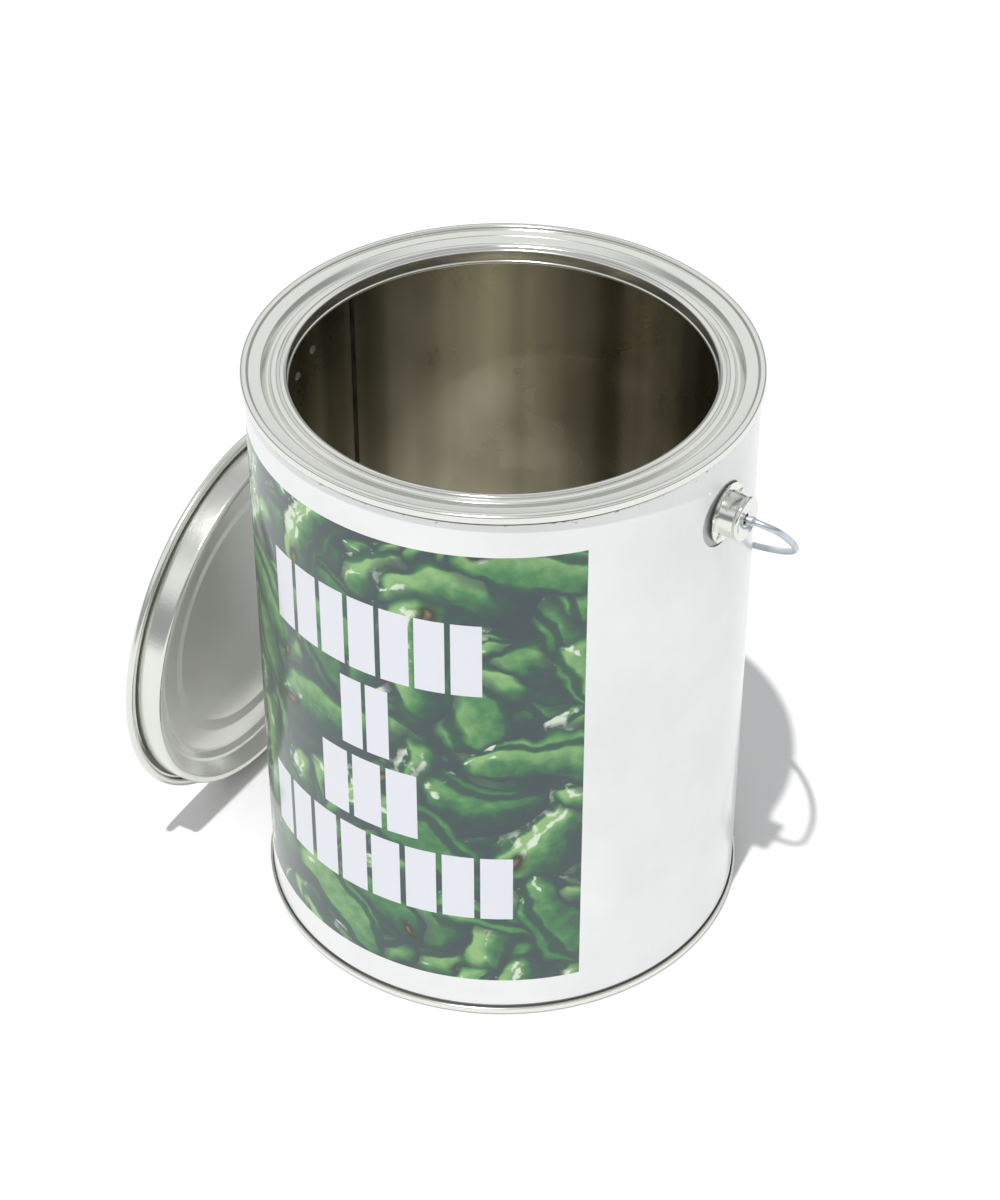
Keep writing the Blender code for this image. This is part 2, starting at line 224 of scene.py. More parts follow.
def offset(points, distance):
    """The points moved sideways to their left, mitred."""
    ways = [(b - a).normalized() for a, b in zip(points, points[1:])]
    sides = [Vector((-way.y, way.x)) for way in ways]
    moved = [points[0] + sides[0] * distance]
    for point, before, after in zip(points[1:], sides, sides[1:]):
        middle = (before + after).normalized()
        moved.append(point + middle * (distance / max(middle.dot(before), 0.3)))
    return moved + [points[-1] + sides[-1] * distance]


def sheet_outline(path, thickness=SHEET):
    """The outline of a sheet whose middle follows path."""
    points = rounded(path, sizes().bend_steps)
    return offset(points, thickness / 2) + offset(points, -thickness / 2)[::-1]


def arc(centre, radius, start, end, spans):
    angles = [math.radians(start + (end - start) * i / spans) for i in range(spans + 1)]
    return [(centre[0] + radius * math.cos(a), centre[1] + radius * math.sin(a)) for a in angles]


def seam_path(rim, inward):
    """The middle of an end's sheet through its double seam, from the hook's tip to the chuck wall."""
    outer = SEAM_RADIUS - SHEET / 2
    crest = rim + inward * SHEET / 2
    hook = rim + inward * (SEAM_HEIGHT - SHEET / 2)
    return [
        (LABEL_RADIUS + 0.00025, hook - inward * 0.0002),
        (outer, hook, 0.0006),
        (outer - 0.00005, rim + inward * 0.0016, 0.001),
        (outer - 0.0002, crest, 0.0008),
        (CHUCK_RADIUS, crest, 0.0007),
    ]


# Turned pieces, by Geometry Nodes

@cache
def turn_tree():
    """Geometry nodes that turn the piece's own profile about Z, and give it its material."""
    tree, given = new_group(
        "Turn a profile", "GeometryNodeTree",
        {"Geometry": "Geometry", "Steps": "Int", "Pitch radius": "Float", "Material": "Material"},
        {"Geometry": "Geometry"},
    )
    profile = add(tree, "GeometryNodeMeshToCurve", {"Mesh": given["Geometry"]})
    circle = add(
        tree, "GeometryNodeCurvePrimitiveCircle",
        {"Resolution": given["Steps"], "Radius": given["Pitch radius"]}, mode="RADIUS",
    )
    skin = add(tree, "GeometryNodeCurveToMesh", {"Curve": circle, "Profile Curve": profile})
    merged = add(tree, "GeometryNodeMergeByDistance", {"Geometry": skin, "Distance": 2e-6})
    real = add(tree, "GeometryNodeRealizeInstances", {"Geometry": merged})
    painted = add(tree, "GeometryNodeSetMaterial", {"Geometry": real, "Material": given["Material"]})
    add(tree, "NodeGroupOutput", {"Geometry": painted})
    return tree


def link_object(name, data):
    """A new object in the scene, from any data or from a bmesh, which is freed."""
    if isinstance(data, bmesh.types.BMesh):
        mesh = bpy.data.meshes.new(name)
        data.to_mesh(mesh)
        data.free()
        data = mesh
    obj = bpy.data.objects.new(name, data)
    bpy.context.scene.collection.objects.link(obj)
    return obj


def evaluated_mesh(obj):
    """The plain mesh of an object with its modifiers or its curve's bevel."""
    bpy.context.view_layer.update()
    made = obj.evaluated_get(bpy.context.evaluated_depsgraph_get())
    return bpy.data.meshes.new_from_object(made)


def run_tree(obj, tree, values):
    """The plain mesh that a geometry tree makes of an object. Each input is set by its identifier."""
    modifier = obj.modifiers.new(tree.name, "NODES")
    modifier.node_group = tree
    for item in tree.interface.items_tree:
        if item.item_type == "SOCKET" and item.in_out == "INPUT" and item.name in values:
            modifier[item.identifier] = values[item.name]
    mesh = evaluated_mesh(obj)
    obj.modifiers.clear()
    return mesh


def finish_mesh(obj, place=None, sharp=32.0):
    """Merge, point outwards, keep the unplaced coordinates as an attribute, and apply the place."""
    mesh = obj.data
    bm = bmesh.new()
    bm.from_mesh(mesh)
    bmesh.ops.remove_doubles(bm, verts=bm.verts, dist=1e-6)
    bmesh.ops.dissolve_degenerate(bm, edges=bm.edges, dist=1e-7)
    bmesh.ops.recalc_face_normals(bm, faces=bm.faces)
    bm.to_mesh(mesh)
    bm.free()
    if "own_place" in mesh.attributes:
        mesh.attributes.remove(mesh.attributes["own_place"])
    own = mesh.attributes.new("own_place", "FLOAT_VECTOR", "POINT")
    own.data.foreach_set("vector", [c for v in mesh.vertices for c in v.co])
    mesh.shade_smooth()
    mesh.set_sharp_from_angle(angle=math.radians(sharp))
    if place is not None:
        mesh.transform(place)
    return obj


def turned(name, outline, material, place=None, steps=None):
    """A fine turned piece from an outline of (radius, height), closed where it meets the axis."""
    pitch = 0.05
    points = [Vector(p) for p in outline]
    on_axis = [i for i, p in enumerate(points) if p.x < 1e-6]
    edges = [(i, (i + 1) % len(points)) for i in range(len(points))]
    if on_axis:
        edges = [e for e in edges if not (e[0] in on_axis and e[1] in on_axis)]
    mesh = bpy.data.meshes.new(name)
    mesh.from_pydata([(p.x - pitch, -p.y, 0.0) for p in points], edges, [])
    obj = link_object(name, mesh)
    values = {"Steps": steps or sizes().turn_steps, "Pitch radius": pitch, "Material": material}
    obj.data = run_tree(obj, turn_tree(), values)
    return finish_mesh(obj, place)


def settle(obj, body, slot, *nodes):
    """Ride on a body and stand for CAD nodes. The slot is not used."""
    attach(obj, body)
    if nodes:
        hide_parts(*nodes)


# Materials

def new_material(name):
    material = bpy.data.materials.new(name)
    material.use_nodes = True
    tree = material.node_tree
    tree.nodes.clear()
    return material, tree


def finish_material(tree, inputs):
    """Link the shader that all the finishes share to the output."""
    add(tree, "OutputMaterial", {"Surface": add(tree, "BsdfPrincipled", inputs)})


# Share of a turn from -X, and how much painted shade darkens the rolled wall there: upright bright and dark
# bands painted into its colour, standing in for the reflections inside the can
PAINTED_REFLECTION_BANDS = [
    (0.0, 0.6), (0.12, 0.35), (0.25, 0.6), (0.4, 0.3), (0.55, 0.65), (0.67, 0.85), (0.725, 0.4),
    (0.778, 0.8), (0.815, 0.1), (0.86, 0.0), (0.9, 0.25), (0.935, 0.65),
]


def tinplate(name, colour, roughness, grain, ring_lines=0.0, film=0.0, rolled=False):
    """Cold-rolled steel plated with tin: bright, with a fine rolling grain along X and soft smears.

    ring_lines is the strength of the tool's lines round a pressed end, and film the share of its light
    that a dry oil film scatters. A rolled wall also has upright waves, and upright bright and dark bands of
    painted reflection and shade in its colour.
    """
    material, tree = new_material(name)
    own = add(tree, "Attribute", attribute_name="own_place").outputs["Vector"]
    # Rolling grain is some 0.05 mm wide. It is drawn at 0.3 mm, so that it shows.
    along = add(tree, "Mapping", {"Vector": own, "Scale": (60.0, 3300.0, 900.0)})
    lines = add(tree, "TexNoise", {"Vector": along, "Scale": 1.0, "Detail": 3.0})
    # Smears of handling, about 30 mm across.
    smear = add(tree, "TexNoise", {"Vector": own, "Scale": 34.0, "Detail": 4.0})
    rough = add(tree, "MapRange", [smear, 0.3, 0.7, roughness * 0.8, roughness * 1.25])
    # Tool lines round a pressing, 0.25 mm apart.
    flat = add(tree, "VectorMath", [own, (1.0, 1.0, 0.0)], operation="MULTIPLY")
    radius = add(tree, "VectorMath", [flat], operation="LENGTH").outputs["Value"]
    rings = add(tree, "TexNoise", {"W": radius, "Scale": 4000.0}, noise_dimensions="1D")
    height = add(tree, "Math", [lines, grain], operation="MULTIPLY")
    height = add(tree, "Math", [rings, ring_lines, height], operation="MULTIPLY_ADD")
    bump = add(tree, "Bump", {"Height": height, "Distance": 0.00002, "Strength": 1.0})
    finish = {"Base Color": linear(colour), "Metallic": 1.0 - film, "Roughness": rough, "Normal": bump}
    if rolled:
        # Upright waves, some 8 to 20 mm wide.
        turn_way = add(tree, "VectorMath", {0: flat, 3: 12.5}, operation="SCALE")
        unit = add(tree, "VectorMath", [turn_way], operation="NORMALIZE")
        waves = add(tree, "TexNoise", {"Vector": unit, "Scale": 3.6, "Detail": 2.0, "Roughness": 0.6})
        # Bright and dark upright bands of painted reflection and shade, by the share of a turn from -X, and
        # broken up by the waves.
        parts = add(tree, "SeparateXYZ", {"Vector": own})
        angle = add(tree, "Math", [parts.outputs["Y"], parts.outputs["X"]], operation="ARCTAN2")
        share = add(tree, "Math", [angle, 0.5 / math.pi, 0.5], operation="MULTIPLY_ADD")
        painted_reflection_band = add(
            tree, "ValToRGB", {"Fac": share},
            stops=[(at, (dull, dull, dull, 1.0)) for at, dull in PAINTED_REFLECTION_BANDS],
        )
        painted_reflection_band.color_ramp.interpolation = "EASE"
        finer = add(tree, "MapRange", [waves, 0.36, 0.62, -0.2, 0.28])
        painted_shade = add(tree, "Math", [painted_reflection_band, finer], operation="ADD", use_clamp=True)
        # Painted shade: the bands darken the tin towards a dull olive grey, standing in for the dark
        # reflections inside the can.
        painted_band_colour = add(
            tree, "Mix", {"Factor": painted_shade, "A": linear(colour), "B": linear("#7C7866")}, data_type="RGBA"
        )
        # Its grain runs round it, so that a reflection is drawn out upright. It isn't quite round, and
        # the waves bend what it mirrors.
        finish.update({
            "Base Color": painted_band_colour.outputs["Result"],
            "Anisotropic": 0.8,
            "Tangent": add(tree, "CombineXYZ", {"Z": 1.0}),
            "Normal": add(tree, "Bump", {"Height": waves, "Distance": 0.0006, "Normal": bump}),
        })
    finish_material(tree, finish)
    return material


def zinc_wire_material():
    """Drawn steel wire with bright zinc plating: satin and bluish, with faint lines along its length."""
    material, tree = new_material("Zinc plated wire")
    place = add(tree, "TexCoord").outputs["Object"]
    # Plating crystals, near 0.8 mm.
    spots = add(tree, "TexNoise", {"Vector": place, "Scale": 1200.0, "Detail": 2.0})
    dull = add(tree, "TexNoise", {"Vector": place, "Scale": 90.0, "Detail": 3.0})
    colour = add(
        tree, "ValToRGB", {"Fac": dull},
        stops=[(0.35, linear("#B4BDC4")), (0.65, linear(colours().zinc))],
    )
    rough = add(tree, "MapRange", {"Value": spots, "To Min": 0.26, "To Max": 0.5})
    bump = add(tree, "Bump", {"Height": spots, "Distance": 0.00004})
    finish_material(tree, {"Base Color": colour, "Metallic": 1.0, "Roughness": rough, "Normal": bump})
    return material


def weld_material():
    """The wire-mash weld of the body, striped with baked lacquer: dark, matt and slightly ragged."""
    material, tree = new_material("Lacquered weld")
    place = add(tree, "TexCoord").outputs["Object"]
    stretched = add(tree, "Mapping", {"Vector": place, "Scale": (900.0, 900.0, 120.0)})
    mottle = add(tree, "TexNoise", {"Vector": stretched, "Scale": 1.0, "Detail": 4.0})
    colour = add(
        tree, "ValToRGB", {"Fac": mottle},
        stops=[(0.35, linear("#23221C")), (0.7, linear("#4A473B"))],
    )
    bump = add(tree, "Bump", {"Height": mottle, "Distance": 0.00006})
    finish_material(tree, {"Base Color": colour, "Metallic": 0.4, "Roughness": 0.42, "Normal": bump})
    return material


def compound_material():
    """Water-based lining compound: a soft dark rubber with a fine pebble."""
    material, tree = new_material("Seam lining compound")
    place = add(tree, "TexCoord").outputs["Object"]
    pebble = add(tree, "TexNoise", {"Vector": place, "Scale": 2500.0, "Detail": 2.0})
    colour = add(
        tree, "ValToRGB", {"Fac": pebble},
        stops=[(0.3, linear("#2A2926")), (0.7, linear("#3A3834"))],
    )
    bump = add(tree, "Bump", {"Height": pebble, "Distance": 0.00005})
    finish_material(tree, {"Base Color": colour, "Roughness": 0.7, "Normal": bump})
    return material


def pepper_group():
    """One scattered layer of printed peppers, laid over the colour given.

    Each square cell holds one pepper, with its own place, turn, bend and width. Lengths are in mm.
    """
    tree, given = new_group(
        "Pepper layer", "ShaderNodeTree",
        {"Place": "Vector", "Cell": "Float", "Seed": "Float", "Under": "Color"}, {"Colour": "Color"},
    )

    # Wrinkles: the place is pushed about by up to 2 mm.
    wrinkle = add(tree, "TexNoise", {"Vector": given["Place"], "Scale": 0.07, "Detail": 2.5})
    push = add(tree, "VectorMath", [wrinkle.outputs["Color"], (0.5, 0.5, 0.5)], operation="SUBTRACT")
    pushed = add(tree, "VectorMath", [push, (11.0, 11.0, 0.0), given["Place"]], operation="MULTIPLY_ADD")
    # The layer's own grid, turned and shifted by its seed.
    turn = add(tree, "Math", [given["Seed"], 0.73], operation="MULTIPLY")
    turned_place = add(tree, "VectorRotate", {"Vector": pushed, "Angle": turn}, rotation_type="Z_AXIS")
    shift = add(tree, "VectorMath", {0: (17.3, 29.1, 0.0), 3: given["Seed"]}, operation="SCALE")
    shifted = add(tree, "VectorMath", [turned_place, shift], operation="ADD")
    per_cell = add(tree, "Math", [1.0, given["Cell"]], operation="DIVIDE")
    scaled = add(tree, "VectorMath", {0: shifted, 3: per_cell}, operation="SCALE")
    cell = add(tree, "VectorMath", [scaled], operation="FLOOR")
    within = add(tree, "VectorMath", [scaled], operation="FRACTION")
    centred = add(tree, "VectorMath", [within, (0.5, 0.5, 0.0)], operation="SUBTRACT")
    chance = add(tree, "TexWhiteNoise", {"Vector": cell, "W": given["Seed"]}, noise_dimensions="4D")
    chances = add(tree, "SeparateXYZ", {"Vector": chance.outputs["Color"]})
    other_seed = add(tree, "Math", [given["Seed"], 7.7], operation="ADD")
    more = add(tree, "TexWhiteNoise", {"Vector": cell, "W": other_seed}, noise_dimensions="4D")
    mores = add(tree, "SeparateXYZ", {"Vector": more.outputs["Color"]})

    # The pepper's own axes: u along it and v across it.
    spin = add(tree, "Math", [chances.outputs["X"], 6.283], operation="MULTIPLY")
    own = add(tree, "VectorRotate", {"Vector": centred, "Angle": spin}, rotation_type="Z_AXIS")
    axes = add(tree, "SeparateXYZ", {"Vector": own})
    u = add(tree, "Math", [axes.outputs["X"], 0.47], operation="DIVIDE")
    bend = add(tree, "MapRange", {"Value": chances.outputs["Y"], "To Min": -0.16, "To Max": 0.16})
    u_squared = add(tree, "Math", [u, u], operation="MULTIPLY")
    sag = add(tree, "Math", [u_squared, bend], operation="MULTIPLY")
    v_bent = add(tree, "Math", [axes.outputs["Y"], sag], operation="ADD")
    width = add(tree, "MapRange", {"Value": chances.outputs["Z"], "To Min": 0.15, "To Max": 0.29})
    # Wider by the stalk than by the tip.
    taper = add(tree, "Math", [u, -0.28, 1.0], operation="MULTIPLY_ADD")
    girth = add(tree, "Math", [width, taper], operation="MULTIPLY")
    v = add(tree, "Math", [v_bent, girth], operation="DIVIDE")
    u_size = add(tree, "Math", [u], operation="ABSOLUTE")
    v_size = add(tree, "Math", [v], operation="ABSOLUTE")
    u_power = add(tree, "Math", [u_size, 3.0], operation="POWER")
    v_power = add(tree, "Math", [v_size, 2.2], operation="POWER")
    # 0 on the pepper's middle and 1 on its outline.
    field = add(tree, "Math", [u_power, v_power], operation="ADD")

    # Lobes run along the pepper, with a crease between each two.
    lobe_turn = add(tree, "Math", [mores.outputs["X"], 3.0], operation="MULTIPLY")
    lobe_angle = add(tree, "Math", [v, 4.4, lobe_turn], operation="MULTIPLY_ADD")
    lobe = add(tree, "Math", [lobe_angle], operation="SINE")
    fold = add(tree, "Math", [lobe_angle], operation="COSINE")
    crease = add(tree, "MapRange", [lobe, -1.0, -0.55, 0.32, 1.0], interpolation_type="SMOOTHSTEP")

    # Slope of the printed form, turned back to the label's axes.
    u_slope = add(tree, "Math", [u, u_squared], operation="MULTIPLY")
    v_slope = add(tree, "Math", [fold, -0.42, v], operation="MULTIPLY_ADD")
    slope = add(tree, "CombineXYZ", {"X": u_slope, "Y": v_slope})
    back = add(tree, "Math", [spin, turn], operation="ADD")
    back = add(tree, "Math", [back, -1.0], operation="MULTIPLY")
    facing = add(tree, "VectorRotate", {"Vector": slope, "Angle": back}, rotation_type="Z_AXIS")
    lit = add(tree, "VectorMath", [facing, (-0.62, 0.55, 0.0)], operation="DOT_PRODUCT").outputs["Value"]

    # Light falls from above the picture, and an outline goes dark.
    shade = add(tree, "Math", [lit, 0.5, 0.42], operation="MULTIPLY_ADD")
    skin = add(tree, "TexNoise", {"Vector": given["Place"], "Scale": 0.22, "Detail": 5.0})
    shade = add(tree, "Math", [skin, 0.5, shade], operation="MULTIPLY_ADD")
    shade = add(tree, "Math", [shade, 0.25], operation="SUBTRACT")
    age = add(tree, "Math", [mores.outputs["Y"], 0.36, -0.13], operation="MULTIPLY_ADD")
    shade = add(tree, "Math", [shade, age], operation="ADD")
    rim = add(tree, "MapRange", [field, 0.55, 1.0, 1.0, 0.3], interpolation_type="SMOOTHSTEP")
    shade = add(tree, "Math", [shade, rim], operation="MULTIPLY")
    shade = add(tree, "Math", [shade, crease], operation="MULTIPLY")
    body = add(
        tree, "ValToRGB", {"Fac": shade},
        stops=[(0.02, linear(colours().gap)), (0.22, linear(colours().leaf)),
               (0.45, linear(colours().pepper)), (0.82, linear(colours().young))],
    )

    # Highlights: long glints where the form faces the lamp, broken by the skin.
    glint_at = add(tree, "VectorMath", [facing, (-0.33, 0.28, 0.0)], operation="DISTANCE")
    edge_glint = add(tree, "VectorMath", [facing, (-0.72, 0.5, 0.0)], operation="DISTANCE")
    edge_glint = add(tree, "Math", [edge_glint.outputs["Value"], 0.06], operation="ADD")
    glint_at = add(tree, "Math", [glint_at.outputs["Value"], edge_glint], operation="MINIMUM")
    ripple = add(
        tree, "TexNoise", {"Vector": given["Place"], "Scale": 0.24, "Detail": 2.0, "Distortion": 0.5},
    )
    glint_at = add(tree, "Math", [ripple, 0.85, glint_at], operation="MULTIPLY_ADD")
    glint = add(tree, "MapRange", [glint_at, 0.49, 0.66, 0.8, 0.0], interpolation_type="SMOOTHSTEP")
    shiny = add(tree, "Mix", {"Factor": glint, "A": body, "B": linear(colours().shine)}, data_type="RGBA")

    # Stalk end: a brown scar in a dark star, on some of the peppers.
    stalk = add(tree, "CombineXYZ", {"X": u, "Y": v})
    stalk = add(tree, "VectorMath", [stalk, (-0.72, 0.1, 0.0)], operation="DISTANCE").outputs["Value"]
    shown = add(tree, "Math", [mores.outputs["Z"], 0.62], operation="LESS_THAN")
    stalk = add(tree, "Math", [stalk, shown], operation="ADD")
    star = add(
        tree, "ValToRGB", {"Fac": stalk},
        stops=[(0.0, linear("#8A7350")), (0.07, linear("#5E5134")), (0.10, linear("#22301F")),
               (0.24, linear("#2C4A28"))],
    )
    starry = add(tree, "MapRange", [stalk, 0.14, 0.3, 1.0, 0.0])
    whole = add(tree, "Mix", {"Factor": starry, "A": shiny.outputs["Result"], "B": star}, data_type="RGBA")

    # Lay it over what is below, which it shades round its outline.
    fall = add(tree, "MapRange", [field, 1.0, 1.9, 0.72, 0.0], interpolation_type="SMOOTHSTEP")
    shaded = add(
        tree, "Mix", {"Factor": fall, "A": given["Under"], "B": linear(colours().gap)}, data_type="RGBA",
    )
    inside = add(tree, "MapRange", [field, 0.96, 1.03, 1.0, 0.0])
    laid = add(
        tree, "Mix",
        {"Factor": inside, "A": shaded.outputs["Result"], "B": whole.outputs["Result"]},
        data_type="RGBA",
    )
    add(tree, "NodeGroupOutput", {"Colour": laid.outputs["Result"]})
    return tree


def box_mask(tree, across, up, half_width, middle, half_height):
    """1 inside an upright box and 0 outside."""
    aside = add(tree, "Math", [across], operation="ABSOLUTE")
    in_width = add(tree, "Math", [aside, half_width], operation="LESS_THAN")
    above = add(tree, "Math", [up, middle], operation="SUBTRACT")
    above = add(tree, "Math", [above], operation="ABSOLUTE")
    in_height = add(tree, "Math", [above, half_height], operation="LESS_THAN")
    return add(tree, "Math", [in_width, in_height], operation="MULTIPLY")


def block_row_group():
    """A row of plain upright blocks: 1 inside a block and 0 outside. Lengths are in mm."""
    tree, given = new_group(
        "Block row", "ShaderNodeTree",
        {"Place": "Vector", "Half width": "Float", "Middle": "Float", "Half height": "Float",
         "Blocks": "Float"},
        {"Mask": "Float"},
    )
    at = add(tree, "SeparateXYZ", {"Vector": given["Place"]})
    x, y = at.outputs["X"], at.outputs["Y"]
    in_row = box_mask(tree, x, y, given["Half width"], given["Middle"], given["Half height"])
    start = add(tree, "Math", [x, given["Half width"]], operation="ADD")
    share = add(tree, "Math", [start, given["Half width"]], operation="DIVIDE")
    count = add(tree, "Math", [share, given["Blocks"]], operation="MULTIPLY")
    count = add(tree, "Math", [count, 0.5], operation="MULTIPLY")
    part = add(tree, "Math", [count], operation="FRACT")
    centred = add(tree, "Math", [part, 0.5], operation="SUBTRACT")
    centred = add(tree, "Math", [centred], operation="ABSOLUTE")
    in_block = add(tree, "Math", [centred, 0.42], operation="LESS_THAN")
    mask = add(tree, "Math", [in_row, in_block], operation="MULTIPLY")
    add(tree, "NodeGroupOutput", {"Mask": mask})
    return tree


# The picture on the label in mm: half its width, its middle above the foot, and half its height
PICTURE = (72.5, 104.7, 89.3)
# Rows of plain blocks over the picture: half width, middle, half height in mm, and number
BLOCK_ROWS = [(41.0, 153.5, 14.0, 7), (9.8, 120.5, 14.0, 2), (19.4, 89.0, 13.5, 3), (50.8, 57.5, 13.5, 8)]
# Layers of peppers from the lowest: size of a cell in mm, and seed
PEPPER_LAYERS = [
    (38.0, 1.0), (42.0, 2.3), (36.0, 3.1), (46.0, 4.7), (40.0, 5.2), (48.0, 6.9), (44.0, 8.4), (54.0, 9.6),
]
# Where one end of the label lies over the other, from its front towards +X
LAP_ANGLE = math.radians(70.7)


def label_material():
    """Coated paper with a printed picture under gloss varnish: a sharp clear shine over soft print."""
    material, tree = new_material("Varnished label paper")
    own = add(tree, "Attribute", attribute_name="own_place").outputs["Vector"]
    parts = add(tree, "SeparateXYZ", {"Vector": own})
    # Flat place on the unrolled label in mm: along from the picture's middle, and up from the foot.
    minus_y = add(tree, "Math", [parts.outputs["Y"], -1.0], operation="MULTIPLY")
    angle = add(tree, "Math", [parts.outputs["X"], minus_y], operation="ARCTAN2")
    along = add(tree, "Math", [angle, LABEL_RADIUS * 1000], operation="MULTIPLY")
    up = add(tree, "Math", [parts.outputs["Z"], 1000.0, -BASE_Z * 1000], operation="MULTIPLY_ADD")
    place = add(tree, "CombineXYZ", {"X": along, "Y": up})

    layer_tree = pepper_group()
    colour = linear(colours().gap)
    for cell, seed in PEPPER_LAYERS:
        layer = add(
            tree, "Group", {"Place": place, "Cell": cell, "Seed": seed, "Under": colour},
            node_tree=layer_tree,
        )
        colour = layer.outputs["Colour"]

    row_tree = block_row_group()
    mask = None
    for half_width, middle, half_height, blocks in BLOCK_ROWS:
        row = add(
            tree, "Group",
            {"Place": place, "Half width": half_width, "Middle": middle, "Half height": half_height,
             "Blocks": blocks},
            node_tree=row_tree,
        )
        mask = row if mask is None else add(tree, "Math", [mask, row], operation="MAXIMUM")
    blocked = add(tree, "Mix", {"Factor": mask, "A": colour, "B": linear("#E4E6EC")}, data_type="RGBA")
    in_picture = box_mask(tree, along, up, *PICTURE)

    # Bare paper, faintly mottled and dirtied by hands near the rim.
    mottle = add(tree, "TexNoise", {"Vector": place, "Scale": 0.03, "Detail": 5.0})
    bare = add(
        tree, "ValToRGB", {"Fac": mottle},
        stops=[(0.3, linear("#EAEBEA")), (0.7, linear(colours().paper))],
    )
    scuff_noise = add(tree, "TexNoise", {"Vector": place, "Scale": 0.5, "Detail": 6.0, "Distortion": 0.8})
    near_rim = add(tree, "MapRange", [up, 198.0, 206.0, 0.0, 1.0])
    scuff = add(tree, "Math", [scuff_noise, near_rim], operation="MULTIPLY")
    scuff = add(tree, "MapRange", [scuff, 0.56, 0.62, 0.0, 0.7])
    worn = add(tree, "Mix", {"Factor": scuff, "A": bare, "B": linear("#6E6A66")}, data_type="RGBA")
    printed = add(
        tree, "Mix",
        {"Factor": in_picture, "A": worn.outputs["Result"], "B": blocked.outputs["Result"]},
        data_type="RGBA",
    )
    # A step where its ends lap.
    lap = add(tree, "Math", [angle, LAP_ANGLE], operation="SUBTRACT")
    lap_edge = add(tree, "Math", [lap, 0.0], operation="GREATER_THAN")
    # Paper fibre, 0.6 mm, under the varnish.
    fibre = add(tree, "TexNoise", {"Vector": place, "Scale": 1.6, "Detail": 3.0})
    height = add(tree, "Math", [fibre, 0.12, lap_edge], operation="MULTIPLY_ADD")
    bump = add(tree, "Bump", {"Height": height, "Distance": 0.00008, "Strength": 0.6})
    finish_material(tree, {
        "Base Color": printed.outputs["Result"], "Roughness": 0.32, "IOR": 1.5, "Normal": bump,
        "Coat Weight": 0.6, "Coat Roughness": 0.09, "Coat IOR": 1.5,
    })
    return material


@cache
def material(name):
    """A finish by its short name, made once."""
    makers = {
        "bright tin": lambda: tinplate("Bright tinplate", colours().tin, 0.13, 0.25, 0.5, 0.1),
        "lid tin": lambda: tinplate("Stamped tinplate", colours().tin, 0.18, 1.6, 0.4, 0.12),
        "glued tin": lambda: tinplate("Dulled tinplate", "#B0B1B0", 0.35, 0.3, film=0.5),
        "floor tin": lambda: tinplate("Matt tinplate", "#F0EDE2", 0.5, 0.3, film=0.95),
        "wall tin": lambda: tinplate("Rolled tinplate", colours().tin_inside, 0.29, 0.3, rolled=True),
        "ear tin": lambda: tinplate("Drawn tinplate", colours().tin, 0.12, 0.3),
        "zinc": zinc_wire_material,
        "weld": weld_material,
        "compound": compound_material,
        "label": label_material,
    }
    return makers[name]()


# Pieces

class OBJECT_OT_can_ends(Operator):
    """Make the friction ring and the bottom end"""

    bl_idname = "object.can_ends"
    bl_label = "Ring and bottom"

    def execute(self, context):
        z = RIM_Z - SHEET / 2
        throat = THROAT_RADIUS - SHEET / 2
        curl = throat + 0.0012
        path = seam_path(RIM_Z, -1) + [
            (CHUCK_RADIUS, z - 0.0012, 0.0006),
            (LEDGE_END - 0.0001, z - 0.0012, 0.0005),
            (LEDGE_END - 0.0016, z - 0.0037, 0.0007),
            (LEDGE_END - 0.0027, z - 0.0037, 0.0005),
            (LEDGE_END - 0.0034, z - 0.0021, 0.0004),
            (CURL_OUTSIDE + 0.0009, z - 0.0021, 0.0005),
            (CURL_OUTSIDE + 0.0001, z - 0.0028, 0.00025),
            (CURL_OUTSIDE - 0.0004, z - 0.0018, 0.0004),
            (curl, z - 0.00165, 0.0006),
            (throat + 0.0001, z - 0.0021, 0.0006),
            (throat + 0.0001, z - 0.0055),
        ]
        # The hem at its foot bulges a little inwards.
        path += arc((throat + 0.0002, z - 0.0063), 0.0005, 95, 330, 14)
        ring = turned("friction_ring", sheet_outline(path), material("bright tin"))
        settle(ring, "can", "end_tinplate", "top_ring")

        panel = SHEET / 2
        path = seam_path(BASE_Z, 1) + [
            (CHUCK_RADIUS, panel, 0.0006),
            (0.0720, panel, 0.0008),
            (0.0712, panel + 0.0008, 0.0008),
            (0.0684, panel + 0.0008, 0.0008),
            (0.0676, panel, 0.0008),
            (0.0, panel),
        ]
        bottom = turned("bottom_panel", sheet_outline(path), material("bright tin"))
        # Only the side within the can kept its dry film of oil.
        bottom.data.materials.append(material("floor tin"))
        for face in bottom.data.polygons:
            if face.normal.z > 0.5 and face.center.xy.length < CHUCK_RADIUS - SHEET:
                face.material_index = 1
        settle(bottom, "can", "end_tinplate", "bottom_end")
        return {"FINISHED"}


